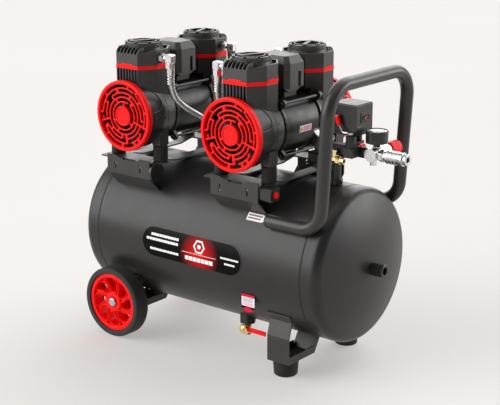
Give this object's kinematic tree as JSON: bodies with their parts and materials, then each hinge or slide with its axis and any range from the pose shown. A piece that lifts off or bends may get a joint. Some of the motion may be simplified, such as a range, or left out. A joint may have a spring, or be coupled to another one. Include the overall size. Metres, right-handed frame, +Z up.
{
  "type": "air compressor",
  "caption": "Portable oil-free air compressor: two double-headed electric pump units on a wheeled horizontal receiver with hoop handle, pressure switch, regulator and gauges.",
  "frame": {"origin": "centre of the plan box on the floor, under the middle of the machine", "axes": "+X along the receiver towards the handle, -Y towards the front with the controls' outlet and drain, +Z up"},
  "size_m": [0.7252, 0.352, 0.6255],
  "materials": {
    "tank_coat": "satin powder coat",
    "bracket_coat": "satin powder coat",
    "handle_coat": "fine textured powder coat",
    "housing_plastic": "fine moulded texture",
    "head_plastic": "satin moulded",
    "signal_red": "semi-gloss moulded",
    "rubber_black": "matt moulded rubber",
    "tyre_rubber": "matt rubber",
    "chrome": "bright plated",
    "brass": "turned brass",
    "zinc_steel": "zinc plated",
    "steel_braid": "woven stainless braid",
    "motor_paint": "satin black",
    "aluminium_cast": "die cast",
    "gauge_black": "gloss black case",
    "fitting_black": "black oxide"
  },
  "bodies": {
    "machine": {"tank_barrel": "tank_coat", "tank_ends": "tank_coat", "tank_fittings": "fitting_black", "handle": "handle_coat", "axle_bolts": "zinc_steel", "leg_brackets": "bracket_coat", "rubber_feet": "rubber_black", "seal_bands": "signal_red", "intake_silencers": "head_plastic", "terminal_covers": "head_plastic", "rubber_mounts": "rubber_black", "tie_bolts": "fitting_black", "hose_elbows": "chrome", "check_valve": "fitting_black", "drain_valve": "brass", "manifold": "fitting_black", "pressure_switch": "housing_plastic", "pressure_gauges": "gauge_black", "regulator_body": "chrome", "coupler_body": "chrome", "brass_fittings": "brass", "reset_box": "housing_plastic", "start_capacitor": "housing_plastic", "motor_stator_left": "motor_paint", "saddle_left": "bracket_coat", "crankcase_left_front": "housing_plastic", "fan_grille_left_front": "signal_red", "head_cover_left_front": "head_plastic", "hose_left_front": "steel_braid", "crankcase_left_rear": "housing_plastic", "fan_grille_left_rear": "signal_red", "head_cover_left_rear": "head_plastic", "hose_left_rear": "steel_braid", "motor_stator_right": "motor_paint", "saddle_right": "bracket_coat", "crankcase_right_front": "housing_plastic", "fan_grille_right_front": "signal_red", "head_cover_right_front": "head_plastic", "hose_right_front": "steel_braid", "crankcase_right_rear": "housing_plastic", "fan_grille_right_rear": "signal_red", "head_cover_right_rear": "head_plastic", "hose_right_rear": "steel_braid"},
    "wheel_front": {"wheel_rim_front": "signal_red", "tyre_front": "tyre_rubber"},
    "wheel_rear": {"wheel_rim_rear": "signal_red", "tyre_rear": "tyre_rubber"},
    "drain_lever": {"drain_lever": "signal_red"},
    "valve_lever_front": {"valve_lever_front": "chrome"},
    "valve_lever_rear": {"valve_lever_rear": "chrome"},
    "regulator_knob": {"regulator_knob": "signal_red"},
    "coupler_sleeve": {"coupler_sleeve": "chrome"},
    "safety_cap": {"safety_cap": "signal_red"},
    "reset_button": {"reset_button": "signal_red"},
    "rotor_left": {"rotor_and_fans_left": "fitting_black"},
    "piston_left_front": {"piston_left_front": "aluminium_cast"},
    "piston_left_rear": {"piston_left_rear": "aluminium_cast"},
    "rotor_right": {"rotor_and_fans_right": "fitting_black"},
    "piston_right_front": {"piston_right_front": "aluminium_cast"},
    "piston_right_rear": {"piston_right_rear": "aluminium_cast"}
  },
  "joints": [
    {"name": "wheel_spin_front", "type": "hinge", "parent": "machine", "child": "wheel_front", "pos_m": [-0.24739, -0.158, 0.0752], "axis": [0, 1, 0], "continuous": true},
    {"name": "wheel_spin_rear", "type": "hinge", "parent": "machine", "child": "wheel_rear", "pos_m": [-0.24739, 0.158, 0.0752], "axis": [0, 1, 0], "continuous": true},
    {"name": "motor_spin_left", "type": "hinge", "parent": "machine", "child": "rotor_left", "pos_m": [-0.21719, 0, 0.4777], "axis": [0, 1, 0], "continuous": true},
    {"name": "piston_stroke_left_front", "type": "slide", "parent": "machine", "child": "piston_left_front", "axis": [0, 0, 1], "range_m": [-0.008, 0.008]},
    {"name": "piston_stroke_left_rear", "type": "slide", "parent": "machine", "child": "piston_left_rear", "axis": [0, 0, 1], "range_m": [-0.008, 0.008]},
    {"name": "motor_spin_right", "type": "hinge", "parent": "machine", "child": "rotor_right", "pos_m": [0.06271, 0, 0.4777], "axis": [0, 1, 0], "continuous": true},
    {"name": "piston_stroke_right_front", "type": "slide", "parent": "machine", "child": "piston_right_front", "axis": [0, 0, 1], "range_m": [-0.008, 0.008]},
    {"name": "piston_stroke_right_rear", "type": "slide", "parent": "machine", "child": "piston_right_rear", "axis": [0, 0, 1], "range_m": [-0.008, 0.008]},
    {"name": "drain_lever_turn", "type": "hinge", "parent": "machine", "child": "drain_lever", "pos_m": [0.04461, -0.0892, 0.0615], "axis": [0, 1, 0], "range_deg": [0, 90]},
    {"name": "valve_lever_front_turn", "type": "hinge", "parent": "machine", "child": "valve_lever_front", "pos_m": [0.25061, -0.027, 0.485], "axis": [0, 0, 1], "range_deg": [0, 90]},
    {"name": "valve_lever_rear_turn", "type": "hinge", "parent": "machine", "child": "valve_lever_rear", "pos_m": [0.21761, 0.048, 0.506], "axis": [0, 0, 1], "range_deg": [-90, 0]},
    {"name": "regulator_knob_turn", "type": "hinge", "parent": "machine", "child": "regulator_knob", "pos_m": [0.28661, 0.065, 0.445], "axis": [0, 1, 0], "range_deg": [-360, 360]},
    {"name": "coupler_sleeve_pull", "type": "slide", "parent": "machine", "child": "coupler_sleeve", "axis": [-1, 0, 0], "range_m": [0, 0.005], "stiffness_N_per_m": 1500},
    {"name": "safety_cap_pull", "type": "slide", "parent": "machine", "child": "safety_cap", "axis": [0, 1, 0], "range_m": [0, 0.004], "stiffness_N_per_m": 1000},
    {"name": "reset_button_press", "type": "slide", "parent": "machine", "child": "reset_button", "axis": [-1, 0, 0], "range_m": [0, 0.003], "stiffness_N_per_m": 1000}
  ]
}
